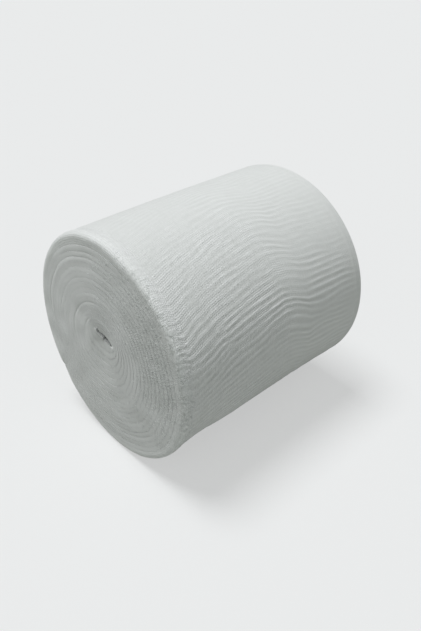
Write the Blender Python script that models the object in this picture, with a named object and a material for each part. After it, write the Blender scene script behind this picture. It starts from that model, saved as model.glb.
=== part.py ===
"""A roll of fluffy crinkle gauze bandage, lying on its side.

One strip of six-ply gauze, its long edges folded in, is wound on itself from a small flattened
start. The solid is its wound form: the last turn with wavy crinkle ribs across the strip, a fat
folded rim at each end, and inside the rims the edges of the turns, in one spiral down to the core.
The strip stops on the far side of the roll, where its end lies pressed down in a low step.

Frame: metres, +Z up, the winding axis along Y, the fat rim at -Y. The origin is the middle of the
small flat spot that the roll rests on. Angles round the roll go from the top (+Z) towards +X.
"""

import math
import random

import bmesh
import bpy

MM = 0.001

# The strip and the roll that it makes.
STRIP_WIDTH = 114 * MM
TURN_THICKNESS = 2.4 * MM
ROLL_RADIUS = 53.5 * MM  # mean radius of the last turn
AXIS_HEIGHT = 53.8 * MM  # a little less than the radius there, which leaves the flat spot
LOOSE_END_ANGLE = math.radians(235)
PRESSED_LENGTH = 7 * MM  # the stretch before the loose end that is pressed thin
NEAR_SLIP = 2.0 * MM  # the turns have slid out at the foot of the near end and in at its head
NEAR_SLIP_SHARE = 0.3  # of the width, from the near end, over which they do

# The last turn is drawn in between its rims, most of all on the side that faces +X and down.
WAIST_DEPTH = 0.4 * MM
WAIST_SLANT = 0.8 * MM
WAIST_ANGLE = math.radians(126)
FOOT_HALF_ANGLE = math.radians(34)  # the weight presses ribs and waist out below this

# The crinkle: one ridge to each rib, so two columns of points to each rib.
RIB_COUNT = 120
RIB_HEIGHT = 0.75 * MM
RIB_WANDER = 0.13  # share of a rib's pitch that its path strays
RIB_UNEVENNESS = (0.6, 1.3)  # least and most height of a point of a rib, as a share
RIM_COLUMNS = RIB_COUNT
FACE_COLUMNS = RIB_COUNT // 3

# Sections of the last turn between the rims: (share of the width, change of radius in
# millimetres, drift of the ribs round the roll in millimetres, rib height as a share of the full
# height). The first is the groove behind the near rim, the last the fold line before the far one.
BARREL_SECTIONS = (
    (0.070, -1.0, -2.7, 0.35),
    (0.130, 0.0, -5.0, 0.90),
    (0.175, 0.0, -6.1, 0.70),
    (0.205, 0.0, -7.5, 1.00),
    (0.370, 0.0, -11.4, 1.00),
    (0.540, 0.0, -14.0, 0.95),
    (0.590, 0.0, -12.9, 1.00),
    (0.665, 0.0, -9.0, 1.00),
    (0.710, 0.0, -8.3, 0.90),
    (0.830, 0.0, -7.0, 0.75),
    (0.930, 0.0, -6.4, 0.55),
    (0.965, -0.3, -6.2, 0.10),
)

# Sections of the rims: (depth from the end in millimetres, change of radius in millimetres,
# drift of the ribs in millimetres, height of the short ridges across the rim as a share of a
# rib's height).
NEAR_RIM_SECTIONS = (
    (-0.9, -3.3, 0.0, 0.20),
    (0.5, -0.7, -0.2, 0.45),
    (3.0, 0.7, -1.0, 0.55),
    (5.6, 0.5, -1.9, 0.40),
)
FAR_RIM_SECTIONS = (
    (2.2, 0.0, -6.2, 0.10),
    (0.6, -1.2, -6.2, 0.05),
    (-0.2, -3.4, -6.2, 0.05),
)

# The ends: the edges of the turns, seen as rounds of one spiral.
ROUNDS = 11
ROWS_PER_ROUND = 2
RIM_WIDTH = 6.2 * MM  # of the last turn's folded edge, seen from the end
CORE_RADIUS = 9 * MM
CORE_OFFSET_X = 2.5 * MM
CORE_OFFSET_Z = 6.0 * MM
CORE_OFFSET_REACH = 13 * MM
RIDGE_DEPTH = 0.3 * MM
GROOVE_DEPTH = 1.3 * MM
RIM_SIDE_DEPTH = 2.6 * MM  # of the groove just inside the rim

# The flattened start of the winding, an eye-shaped slot across the core. Loops lead from the
# first round to the slot's floor: (share of the way from the round to the slot's lip, depth
# below the ridges in millimetres, half-width of the slot's outline in millimetres).
SLOT_HALF_LENGTH = 5.0 * MM
SLOT_TILT = math.radians(-9)
SLOT_LOOPS = (
    (0.55, -0.3, 1.2),
    (1.00, 0.3, 1.2),
    (1.00, 2.6, 0.6),
)

# Slow waves, in turns of the spiral, that make the rounds stand uneven: (waves, size, phase).
UNEVEN_WAVES = ((0.37, 0.35 * MM, 1.3), (1.73, 0.22 * MM, 0.4), (4.31, 0.14 * MM, 2.2))

COTTON = (0.86, 0.88, 0.87, 1.0)

random_source = random.Random(114)


def smooth_step(value):
    value = min(max(value, 0.0), 1.0)
    return value * value * (3 - 2 * value)


def last_turn_radius(turn):
    """Radius of the last turn: turn runs from 0, just past the loose end, round to 1 on it."""
    pressed_share = PRESSED_LENGTH / (2 * math.pi * ROLL_RADIUS)
    pressed = smooth_step((turn - 1 + pressed_share) / pressed_share)
    return ROLL_RADIUS + TURN_THICKNESS * (turn - 0.5 - 0.5 * pressed)


def foot_share(angle):
    """1 at the foot of the roll, falling to 0 at FOOT_HALF_ANGLE to each side."""
    from_foot = abs((angle % (2 * math.pi)) - math.pi)
    return 1 - smooth_step(from_foot / FOOT_HALF_ANGLE)


def waist(angle, share_of_width):
    across = 1 - (2 * share_of_width - 1) ** 2
    depth = WAIST_DEPTH + WAIST_SLANT * math.cos(angle - WAIST_ANGLE)
    return -depth * across * (1 - foot_share(angle))


def slipped(along, angle):
    """Place along the axis, with the near end's turns slid out at the foot, in at the head."""
    from_near_end = along / STRIP_WIDTH + 0.5
    near_share = 1 - smooth_step(from_near_end / NEAR_SLIP_SHARE)
    return along + NEAR_SLIP * math.cos(angle) * near_share


def on_roll(angle, radius, along):
    return (
        radius * math.sin(angle),
        slipped(along, angle),
        max(AXIS_HEIGHT + radius * math.cos(angle), 0.0),
    )


def turn_row(mesh, columns, along, rise, drift, ridge):
    """Points across the last turn: odd columns stand up in ridges, even ones lie between them."""
    share_of_width = along / STRIP_WIDTH + 0.5
    points = []
    for column in range(columns + 1):
        turn = column / columns
        stray = RIB_WANDER * random_source.uniform(-1, 1) / RIB_COUNT
        if column in (0, columns):
            stray = 0.0
        angle = LOOSE_END_ANGLE + 2 * math.pi * (turn + stray) + drift / ROLL_RADIUS
        lift = (0.5 if column % 2 else -0.5) * random_source.uniform(*RIB_UNEVENNESS)
        radius = last_turn_radius(turn) + rise + waist(angle, share_of_width)
        radius += lift * ridge * RIB_HEIGHT * (1 - foot_share(angle))
        points.append(mesh.verts.new(on_roll(angle, radius, along)))
    return points


def round_radius(rounds):
    """Radius of the spiral on an end, after so many rounds from the core."""
    last_round = last_turn_radius(0) - RIM_WIDTH
    if rounds <= ROUNDS:
        return CORE_RADIUS + (last_round - CORE_RADIUS) * rounds / ROUNDS
    return last_round + TURN_THICKNESS * (rounds - ROUNDS)


def unevenness(rounds, end):
    return sum(
        size * math.sin(2 * math.pi * waves * rounds + phase * (2 + end))
        for waves, size, phase in UNEVEN_WAVES
    )


def on_end(end, angle, radius, depth):
    """A point on the near end (-1) or the far end (+1), so deep below the rim."""
    pull = math.exp(-((radius / CORE_OFFSET_REACH) ** 2))
    across = radius * math.sin(angle) + CORE_OFFSET_X * pull
    up = radius * math.cos(angle) + CORE_OFFSET_Z * pull
    along = slipped(end * (STRIP_WIDTH / 2 - depth), angle)
    return (across, along, max(AXIS_HEIGHT + up, 0.0))


def join_rows(mesh, first, second):
    """Faces between two rows over the same turn, which may have different numbers of points."""
    i = j = 0
    while i < len(first) - 1 or j < len(second) - 1:
        next_first = (i + 1) / (len(first) - 1)
        next_second = (j + 1) / (len(second) - 1)
        if abs(next_first - next_second) < 1e-9:
            mesh.faces.new((first[i], first[i + 1], second[j + 1], second[j]))
            i, j = i + 1, j + 1
        elif next_first < next_second:
            mesh.faces.new((first[i], first[i + 1], second[j]))
            i += 1
        else:
            mesh.faces.new((first[i], second[j + 1], second[j]))
            j += 1


def spiral_rows(mesh, end, drift):
    """The rounds of one end, from the core out to the groove beside the rim.

    Each row is a spiral too, so its last point is the first point of the row one round further
    out, as long as there is one.
    """
    row_count = ROUNDS * ROWS_PER_ROUND + 1
    rows = []
    for row in range(row_count):
        points = []
        for column in range(FACE_COLUMNS + 1):
            turn = column / FACE_COLUMNS
            rounds = row / ROWS_PER_ROUND + turn
            angle = LOOSE_END_ANGLE + 2 * math.pi * turn + drift / ROLL_RADIUS
            depth = RIDGE_DEPTH if row % ROWS_PER_ROUND else GROOVE_DEPTH
            depth += unevenness(rounds, end)
            if row == row_count - 1:
                depth = RIM_SIDE_DEPTH
            points.append((end, angle, round_radius(rounds), depth))
        rows.append(points)
    made = [[None] * (FACE_COLUMNS + 1) for _ in rows]
    for row in reversed(range(row_count)):
        for column in range(FACE_COLUMNS + 1):
            if column == FACE_COLUMNS and row + ROWS_PER_ROUND < row_count:
                made[row][column] = made[row + ROWS_PER_ROUND][0]
            else:
                made[row][column] = mesh.verts.new(on_end(*rows[row][column]))
    return made


def close_core(mesh, end, rows):
    """Loops from the first round in to the slot of the core, and the slot's floor."""
    border = rows[0] + [rows[step][0] for step in range(ROWS_PER_ROUND - 1, 0, -1)]
    middle_x = CORE_OFFSET_X
    middle_z = AXIS_HEIGHT + CORE_OFFSET_Z
    outer = border
    for share, depth, half_width in SLOT_LOOPS:
        along = end * (STRIP_WIDTH / 2 - RIDGE_DEPTH - depth * MM)
        inner = []
        for corner in border:
            from_x = corner.co.x - middle_x
            from_z = corner.co.z - middle_z
            angle = math.atan2(from_z, from_x) - SLOT_TILT
            long_way = SLOT_HALF_LENGTH * math.cos(angle)
            short_way = half_width * MM * math.sin(angle)
            lip_x = long_way * math.cos(SLOT_TILT) - short_way * math.sin(SLOT_TILT)
            lip_z = long_way * math.sin(SLOT_TILT) + short_way * math.cos(SLOT_TILT)
            across = from_x + (lip_x - from_x) * share
            up = from_z + (lip_z - from_z) * share
            inner.append(mesh.verts.new((middle_x + across, along, middle_z + up)))
        for k, corner in enumerate(outer):
            after = (k + 1) % len(outer)
            mesh.faces.new((corner, outer[after], inner[after], inner[k]))
        outer = inner
    mesh.faces.new(outer)


def close_loose_end(mesh, rows, near_step, far_step):
    """The step where the strip stops, from its last points down to the turn below."""
    for k, (row, after) in enumerate(zip(rows, rows[1:])):
        corners = [row[-1], after[-1], after[0], row[0]]
        if k == 0:
            corners.append(near_step)
        if k == len(rows) - 2:
            corners.insert(2, far_step)
        mesh.faces.new(corners)


def centre_over_origin(mesh):
    for axis in (0, 1):
        places = [corner.co[axis] for corner in mesh.verts]
        shift = (min(places) + max(places)) / 2
        for corner in mesh.verts:
            corner.co[axis] -= shift


def wound_strip():
    mesh = bmesh.new()
    near_rounds = spiral_rows(mesh, -1, NEAR_RIM_SECTIONS[0][2] * MM)
    far_rounds = spiral_rows(mesh, 1, FAR_RIM_SECTIONS[-1][2] * MM)
    rows = [near_rounds[-1]]
    for depth, rise, drift, ridge in NEAR_RIM_SECTIONS:
        along = depth * MM - STRIP_WIDTH / 2
        rows.append(turn_row(mesh, RIM_COLUMNS, along, rise * MM, drift * MM, ridge))
    for share, rise, drift, ridge in BARREL_SECTIONS:
        along = (share - 0.5) * STRIP_WIDTH
        rows.append(turn_row(mesh, 2 * RIB_COUNT, along, rise * MM, drift * MM, ridge))
    for depth, rise, drift, ridge in FAR_RIM_SECTIONS:
        along = STRIP_WIDTH / 2 - depth * MM
        rows.append(turn_row(mesh, RIM_COLUMNS, along, rise * MM, drift * MM, ridge))
    rows.append(far_rounds[-1])
    for near, far in zip(rows, rows[1:]):
        join_rows(mesh, near, far)
    for end, rounds in ((-1, near_rounds), (1, far_rounds)):
        for inner, outer in zip(rounds, rounds[1:]):
            join_rows(mesh, inner, outer)
        close_core(mesh, end, rounds)
    close_loose_end(mesh, rows, near_rounds[-2][-1], far_rounds[-2][-1])
    centre_over_origin(mesh)
    bmesh.ops.recalc_face_normals(mesh, faces=mesh.faces)
    return mesh


def cotton_material():
    material = bpy.data.materials.new("cotton_gauze")
    material.use_nodes = True
    shader = material.node_tree.nodes["Principled BSDF"]
    shader.inputs["Base Color"].default_value = COTTON
    shader.inputs["Roughness"].default_value = 0.95
    shader.inputs["Metallic"].default_value = 0.0
    return material


def main():
    for thing in list(bpy.data.objects):
        bpy.data.objects.remove(thing, do_unlink=True)
    mesh = wound_strip()
    data = bpy.data.meshes.new("gauze_roll")
    mesh.to_mesh(data)
    mesh.free()
    data.shade_smooth()
    data.materials.append(cotton_material())
    roll = bpy.data.objects.new("gauze_roll", data)
    bpy.context.scene.collection.objects.link(roll)


main()
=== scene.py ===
# %% [markdown]
# # A roll of fluffy crinkle gauze bandage
#
# The real thing is a single strip of open cotton gauze, six plies thick, with both long edges
# folded in. It is wound on itself into a roll and lies on its side. Three things make it look
# the way it does: the crinkle ribs that run across the strip, the soft folded rim at the near
# end, and the many folded edges that lie side by side on the ends as faint rings of a spiral.
#
# The frame holds the roll's plain solid at its real size. This lesson puts the cloth in its place:
# one long thin sheet for the turns inside, one for the last turn, and the loose cotton on them.

# %% The frame
import math

import bpy
import numpy as np
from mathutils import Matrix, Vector


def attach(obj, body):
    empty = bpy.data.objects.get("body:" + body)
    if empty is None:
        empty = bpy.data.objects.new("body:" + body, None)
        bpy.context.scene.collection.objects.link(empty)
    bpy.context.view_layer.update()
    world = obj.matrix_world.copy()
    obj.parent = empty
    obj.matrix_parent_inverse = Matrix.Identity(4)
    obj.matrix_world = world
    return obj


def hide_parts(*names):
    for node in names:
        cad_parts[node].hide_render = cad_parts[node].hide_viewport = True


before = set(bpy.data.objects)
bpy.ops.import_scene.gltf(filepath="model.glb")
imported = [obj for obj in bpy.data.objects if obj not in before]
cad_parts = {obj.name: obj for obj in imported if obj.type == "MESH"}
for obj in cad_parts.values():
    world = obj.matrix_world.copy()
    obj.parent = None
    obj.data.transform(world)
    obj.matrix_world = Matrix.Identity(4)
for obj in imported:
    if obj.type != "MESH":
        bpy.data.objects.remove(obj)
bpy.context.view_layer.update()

MM = 0.001

# %% [markdown]
# ## The roll in numbers
#
# The solid was worked out from a few sizes, and the cloth has to lie on it, so the same sizes are
# named here. Angles round the roll go from the top towards +X. The winding axis runs along Y and
# the soft rim is at -Y. Turns are counted from the start of the last one: 0 there, 1 at the
# strip's loose end, and negative inside. The solid's box is centred over the origin, which puts
# the winding axis a little to one side of it.

# %% Sizes of the strip and of its winding
STRIP_WIDTH = 114 * MM
TURN_THICKNESS = 2.4 * MM
ROLL_RADIUS = 53.5 * MM
AXIS_X = -0.5 * MM
AXIS_MIDDLE_Y = 1.25 * MM
AXIS_HEIGHT = 53.8 * MM
LOOSE_END_ANGLE = math.radians(235)
NEAR_SLIP = 2.0 * MM
NEAR_SLIP_SHARE = 0.3
WAIST_DEPTH = 0.4 * MM
WAIST_SLANT = 0.8 * MM
WAIST_ANGLE = math.radians(126)
FOOT_HALF_ANGLE = math.radians(34)
roll_middle = Vector((AXIS_X, AXIS_MIDDLE_Y, AXIS_HEIGHT))
turn_length = 2 * math.pi * ROLL_RADIUS
print("one turn is", round(turn_length / MM), "mm long")

# %% [markdown]
# ## Camera
#
# The camera comes first, because every later choice is judged through it. It stands to the right
# of the near end and looks down on the roll by 34 degrees. It is close, so
# the near end looks larger than the far one. It aims a few millimetres past the roll's middle,
# which puts the roll a little up and to the left in the picture.

# %% Camera
VIEW_AZIMUTH = math.radians(48.39)
VIEW_ELEVATION = math.radians(33.84)
VIEW_DISTANCE = 297 * MM
AIM_RIGHT = 4.3 * MM
AIM_DOWN = 7.25 * MM
LENS = 34.57

away = Vector(
    (
        math.sin(VIEW_AZIMUTH) * math.cos(VIEW_ELEVATION),
        -math.cos(VIEW_AZIMUTH) * math.cos(VIEW_ELEVATION),
        math.sin(VIEW_ELEVATION),
    )
)
picture_right = (-away).cross(Vector((0, 0, 1))).normalized()
picture_up = picture_right.cross(-away)
aim = roll_middle + AIM_RIGHT * picture_right - AIM_DOWN * picture_up
bpy.ops.object.camera_add(location=roll_middle + VIEW_DISTANCE * away)
camera = bpy.context.object
camera.data.lens = LENS
camera.rotation_mode = "QUATERNION"
camera.rotation_quaternion = (aim - camera.location).to_track_quat("-Z", "Y")
camera.data.clip_start = 0.01
bpy.context.scene.camera = camera
print("camera at", tuple(round(place, 3) for place in camera.location))

# %% [markdown]
# ## Floor and light
#
# White cotton shows its shape only by soft shade. One broad light from above, tipped towards -X
# and a little towards the near end, lights the top of the roll. A second, much broader and weaker
# one comes from about where the camera is and opens up the side and the end, and the rest of the
# light comes evenly from all round. The floor is a pale table that glows a little, as a product
# photographer's light table does, so the roll's shadow on it stays faint. It throws back less
# light than it shows, or it would light the roll from below and wash the crinkle out.

# %% Small helpers for nodes
def new_node(tree, kind, **settings):
    node = tree.nodes.new(kind)
    for name, value in settings.items():
        setattr(node, name, value)
    return node


def feed(tree, node, values):
    """Gives a node's inputs their values, or links them to other nodes' outputs."""
    for name, value in values.items():
        if isinstance(value, bpy.types.NodeSocket):
            tree.links.new(value, node.inputs[name])
        else:
            node.inputs[name].default_value = value
    return node


def fed_node(tree, kind, values, **settings):
    return feed(tree, new_node(tree, kind, **settings), values)


def figure(tree, operation, *values):
    return fed_node(tree, "ShaderNodeMath", dict(enumerate(values)), operation=operation).outputs[0]


def shown_and_thrown(tree, surface_kind, thrown_back, shown):
    """Shows the camera one thing and throws the light of another back on the roll."""
    path = new_node(tree, "ShaderNodeLightPath")
    parts = {"Fac": path.outputs["Is Camera Ray"], 1: thrown_back, 2: shown}
    choice = fed_node(tree, "ShaderNodeMixShader", parts)
    fed_node(tree, surface_kind, {"Surface": choice.outputs["Shader"]})


print("helpers ready")

# %% Floor
FLOOR_SIZE = 8.0
FLOOR_SHOWN = (0.93, 0.935, 0.935, 1.0)
FLOOR_THROWN_BACK = (0.40, 0.41, 0.385, 1.0)
FLOOR_GLOW = 0.86
FLOOR_GLOW_SHARE = 0.62

bpy.ops.object.select_all(action="DESELECT")
bpy.ops.mesh.primitive_plane_add(size=FLOOR_SIZE)
floor = bpy.context.object
floor.name = "floor"
floor_material = bpy.data.materials.new("floor_pale")
floor_material.use_nodes = True
tree = floor_material.node_tree
tree.nodes.clear()
plain = fed_node(tree, "ShaderNodeBsdfDiffuse", {"Color": FLOOR_SHOWN})
glow = fed_node(tree, "ShaderNodeEmission", {"Color": FLOOR_SHOWN, "Strength": FLOOR_GLOW})
table_parts = {"Fac": FLOOR_GLOW_SHARE, 1: plain.outputs["BSDF"], 2: glow.outputs["Emission"]}
table = fed_node(tree, "ShaderNodeMixShader", table_parts)
dull = fed_node(tree, "ShaderNodeBsdfDiffuse", {"Color": FLOOR_THROWN_BACK})
shown_and_thrown(tree, "ShaderNodeOutputMaterial", dull.outputs["BSDF"], table.outputs["Shader"])
floor.data.materials.append(floor_material)
print("floor", FLOOR_SIZE, "m across")

# %% Lamps and surroundings
LAMPS = (
    # name, the direction that the light comes from, strength, softness in degrees, colour
    ("broad_lamp", (-0.265, -0.12, 0.957), 2.23, 24, (0.985, 1.0, 1.01)),
    ("side_fill", (0.66, -0.56, 0.47), 0.49, 100, (0.955, 1.0, 1.005)),
)
SURROUNDINGS = (0.162, 0.170, 0.167, 1.0)
BACKDROP = (0.88, 0.885, 0.885, 1.0)

for name, comes_from, strength, softness_degrees, colour in LAMPS:
    bpy.ops.object.light_add(type="SUN", location=(0, 0, 1))
    lamp = bpy.context.object
    lamp.name = name
    lamp.data.energy = strength
    lamp.data.color = colour
    lamp.data.angle = math.radians(softness_degrees)
    lamp.rotation_mode = "QUATERNION"
    lamp.rotation_quaternion = Vector(comes_from).to_track_quat("Z", "Y")

world = bpy.data.worlds.new("studio")
bpy.context.scene.world = world
world.use_nodes = True
tree = world.node_tree
tree.nodes.clear()
around, backdrop = [
    fed_node(tree, "ShaderNodeBackground", {"Color": colour}).outputs["Background"]
    for colour in (SURROUNDINGS, BACKDROP)
]
shown_and_thrown(tree, "ShaderNodeOutputWorld", around, backdrop)
bpy.context.scene.view_settings.view_transform = "Standard"
print(len(LAMPS), "lamps")

# %% [markdown]
# ## Soft unevenness
#
# Nothing on a cotton roll repeats exactly: ribs wander and merge, and turns lie a little closer
# or further apart. All of that comes from smooth hills of random height. They could be made with
# Blender's noise textures and Displace modifiers, but here several hill fields steer one point
# together, so a small function on arrays is simpler. The same seed gives the same hills each run.

# %% Soft steps and hills
HILLS_EACH_WAY = 256


def smooth_step(value):
    value = np.clip(value, 0.0, 1.0)
    return value * value * (3 - 2 * value)


def hills(across, along, seed):
    """Smooth random heights from -1 to 1, about one hill to each unit of the two places."""
    heights = np.random.default_rng(seed).uniform(-1, 1, (HILLS_EACH_WAY, HILLS_EACH_WAY))
    across, along = np.broadcast_arrays(across, along)
    column = np.floor(across).astype(int)
    row = np.floor(along).astype(int)
    right = smooth_step(across - column)
    up = smooth_step(along - row)
    column_after = (column + 1) % HILLS_EACH_WAY
    row_after = (row + 1) % HILLS_EACH_WAY
    column = column % HILLS_EACH_WAY
    row = row % HILLS_EACH_WAY
    lower = heights[column, row] * (1 - right) + heights[column_after, row] * right
    upper = heights[column, row_after] * (1 - right) + heights[column_after, row_after] * right
    return lower * (1 - up) + upper * up


def window(value, start, end, fade):
    """1 between start and end, falling smoothly to 0 over fade on both sides."""
    return smooth_step((value - start) / fade + 1) * smooth_step((end - value) / fade + 1)


def turned_window(angle, start_degrees, end_degrees, fade_degrees):
    """The same round the roll, where the angles run on past a full turn."""
    middle = (start_degrees + end_degrees) / 2
    half = (end_degrees - start_degrees) / 2
    away_from_middle = (np.degrees(angle) - middle + 180) % 360 - 180
    return window(away_from_middle, -half, half, fade_degrees)


def at_least(least, share):
    """The least value where the share is 0, rising to 1 where it is 1."""
    return least + (1 - least) * share


few_hills = hills(np.arange(50.0), 0.5, 1)
print("hills from", round(float(few_hills.min()), 2), "to", round(float(few_hills.max()), 2))

# %% [markdown]
# ## The way the strip winds
#
# The strip's middle line is a spiral: every turn lies 2.4 mm outside the one before. At the
# start the strip was folded flat before it was rolled, so the first turns are long and low, and
# their middle sits above and to the right of the roll's. That flat start is the dark slot in the
# middle of the end. A spiral curve could be bent by hand, but a formula keeps the turns from
# cutting through one another.

# %% The spiral
CORE_OFFSET_X = 2.3 * MM
CORE_OFFSET_Z = 8.8 * MM
CORE_OFFSET_REACH = 16 * MM
SLOT_TILT = math.radians(-10)
SLOT_STRETCH = 5.2 * MM
SLOT_STRETCH_REACH = 7 * MM
SLOT_SQUEEZE = 2.1 * MM
SLOT_SQUEEZE_RADIUS = 3.6 * MM
SLOT_SQUEEZE_REACH = 4.5 * MM
START_RADIUS = 2.8 * MM
LAY_WOBBLE = 0.32 * MM
LAY_WOBBLES_A_TURN = 5.3
DRIFTED = 0.9 * MM
DRIFTED_REACH = 15 * MM
LAY_SEED = 11
DRIFT_SEEDS = (12, 13)
first_turn = 1 - (ROLL_RADIUS - START_RADIUS) / TURN_THICKNESS


def turn_angle(turns):
    return LOOSE_END_ANGLE + 2 * math.pi * turns


def on_circle(angle, radius):
    """Places (x, z from the axis) at angles round it."""
    return np.stack([radius * np.sin(angle), radius * np.cos(angle)], axis=-1)


def turned_to_slot(across, up):
    """The same two places measured along the slot and over it."""
    along_slot = across * math.cos(SLOT_TILT) + up * math.sin(SLOT_TILT)
    return along_slot, up * math.cos(SLOT_TILT) - across * math.sin(SLOT_TILT)


def middle_line(turns):
    """Places (x, z from the axis) of the middle of the strip's thickness."""
    angle = turn_angle(turns)
    inside = smooth_step(-turns / 2)
    radius = ROLL_RADIUS + TURN_THICKNESS * (turns - 1)
    radius = radius + LAY_WOBBLE * inside * hills(turns * LAY_WOBBLES_A_TURN, 0.5, LAY_SEED)
    across, up = on_circle(angle, radius).T
    along_slot, over_slot = turned_to_slot(np.sin(angle), np.cos(angle))
    stretch = SLOT_STRETCH * np.exp(-radius / SLOT_STRETCH_REACH) * along_slot
    from_squeeze = (radius - SLOT_SQUEEZE_RADIUS) / SLOT_SQUEEZE_REACH
    squeeze = SLOT_SQUEEZE * np.exp(-(from_squeeze**2)) * over_slot
    across = across + stretch * math.cos(SLOT_TILT) + squeeze * math.sin(SLOT_TILT)
    up = up + stretch * math.sin(SLOT_TILT) - squeeze * math.cos(SLOT_TILT)
    pull = np.exp(-((radius / CORE_OFFSET_REACH) ** 2))
    across = across + CORE_OFFSET_X * pull
    up = up + CORE_OFFSET_Z * pull
    drifted_x, drifted_z = [
        DRIFTED * inside * hills(across / DRIFTED_REACH, up / DRIFTED_REACH, seed)
        for seed in DRIFT_SEEDS
    ]
    return np.stack([across + drifted_x, up + drifted_z], axis=-1)


SPIRAL_SAMPLES = 60000
COLUMN_STEP = 0.645 * MM
CORE_COLUMN_STEP = 0.3 * MM
CORE_STEP_REACH = 12 * MM
HIDDEN_START = 0.07  # the last turn starts so much of a turn before the loose end, under it


def turns_of_columns():
    """Places along the strip at even steps of cloth, closer together round the tight core."""
    fine = np.linspace(first_turn, -HIDDEN_START, SPIRAL_SAMPLES)
    places = middle_line(fine)
    lengths = np.hypot(*np.diff(places, axis=0).T)
    middle_radii = ROLL_RADIUS + TURN_THICKNESS * (fine[1:] - 1)
    step = CORE_COLUMN_STEP
    step = step + (COLUMN_STEP - CORE_COLUMN_STEP) * smooth_step(middle_radii / CORE_STEP_REACH)
    counted = np.concatenate([[0], np.cumsum(lengths / step)])
    arc = np.concatenate([[0], np.cumsum(lengths)])
    even = np.linspace(0, counted[-1], int(counted[-1]) + 1)
    return np.interp(even, counted, fine), np.interp(even, counted, arc)


inner_turns, inner_arc = turns_of_columns()
print(len(inner_turns), "columns along", round(float(inner_arc[-1]), 2), "m of strip")

# %% [markdown]
# ## Grooves and dents of the ends
#
# On the end of the real roll most turns are pressed together and their rings hardly show. A few
# stand apart, and those gaps draw the arcs that the eye follows. Each is a row of a small table:
# the distance from the axis, the stretch of angles, and the depth. Dents are patches where a
# handful of turns has sunk in together.

# %% Gaps between turns, and dents
NEAR_GAPS = (
    # radius in mm, from and to in degrees round the end, depth in mm
    (43.6, 252, 348, 0.20),
    (46.8, 325, 348, 0.10),
    (38.6, 10, 60, 0.07),
    (34.4, 292, 380, 0.10),
    (35.4, 70, 132, 0.09),
    (42.2, 78, 152, 0.09),
    (39.8, 122, 166, 0.07),
    (34.0, 128, 168, 0.07),
    (17.8, 62, 236, 0.09),
    (21.6, 268, 345, 0.18),
    (12.0, 250, 300, 0.16),
)
FAR_GAPS = (
    (45.0, 40, 170, 0.30),
    (40.2, 190, 300, 0.18),
    (34.6, 300, 420, 0.22),
    (28.0, 100, 220, 0.15),
    (21.0, 230, 380, 0.22),
    (15.5, 20, 150, 0.20),
)
NEAR_DENTS = (
    # middle across and up from the axis, half width, half height and depth, all in mm
    (-14.5, 13.5, 6.0, 5.0, 0.4),
    (2.3, 8.0, 8.5, 4.5, 0.57),
    (10.0, -26.0, 16.0, 6.0, 0.2),
)
FAR_DENTS = ((-18.0, 12.0, 8.0, 6.0, 0.9), (16.0, -20.0, 10.0, 7.0, 0.7))
GAP_FADE = 18  # degrees
GAP_REACH = 0.62  # of a turn's thickness, to each side of a gap's own radius
GAP_FULL_TO = 0.6  # of that reach
GAP_LEAST = 0.4  # of a gap's depth, where matted fibres bridge it
GAP_BRIDGES_A_TURN = 11.3
GAP_SEED = 14


def outer_radius(turns):
    """Radius of the outer face of the strip, where it is a plain spiral."""
    return ROLL_RADIUS + TURN_THICKNESS * (turns - 0.5)


def gap_depth(gaps, turns):
    """Depth of the gaps on the outside of the strip."""
    bridged = smooth_step(0.5 + 0.9 * hills(turns * GAP_BRIDGES_A_TURN, 2.5, GAP_SEED))
    broken = at_least(GAP_LEAST, bridged)
    depth = np.zeros_like(turns)
    for radius_mm, from_degrees, to_degrees, depth_mm in gaps:
        off = np.abs(outer_radius(turns) - radius_mm * MM) / (GAP_REACH * TURN_THICKNESS)
        near = 1 - smooth_step((off - GAP_FULL_TO) / (1 - GAP_FULL_TO))
        here = turned_window(turn_angle(turns), from_degrees, to_degrees, GAP_FADE)
        depth = np.maximum(depth, near * here * broken * depth_mm * MM)
    return depth


def soft_patches(rows, places):
    """What each row of a table of patches adds at the places; it fades round the middle."""
    for across_mm, up_mm, half_width_mm, half_height_mm, most in rows:
        from_x = (places[:, 0] / MM - across_mm) / half_width_mm
        from_z = (places[:, 1] / MM - up_mm) / half_height_mm
        yield most * np.exp(-(from_x**2 + from_z**2))


print(len(NEAR_GAPS), "gaps and", len(NEAR_DENTS), "dents on the near end")

# %% [markdown]
# ## A sheet from a row of sections
#
# Both sheets are made the same way. At each place along the strip there is a closed outline of
# the cloth's section, and the outlines are joined one after the other, like the ribs of a hull.
# It could be a curve with a bevel object, but a bevel keeps one section all the way, and here
# every section differs. The cloth map holds the strip laid flat, in metres, so that the weave
# follows the cloth round its folds. Three more values ride on each point for the finish: how high
# it stands in the crinkle, how loose the threads are there, and how much painted shade darkens
# its colour there; below 0 it is painted light, which brightens it.

# %% Mesh of a sheet
def keep_crisp(mesh, points, crisp_points):
    """Marks the edges along the strip at some points of the section as sharp corners."""
    ends = np.zeros(len(mesh.edges) * 2, dtype=np.int32)
    mesh.edges.foreach_get("vertices", ends)
    at_point = ends.reshape(-1, 2) % points
    crisp = (at_point[:, 0] == at_point[:, 1]) & np.isin(at_point[:, 0], crisp_points)
    mesh.attributes.new("sharp_edge", "BOOLEAN", "EDGE").data.foreach_set("value", crisp)


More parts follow.
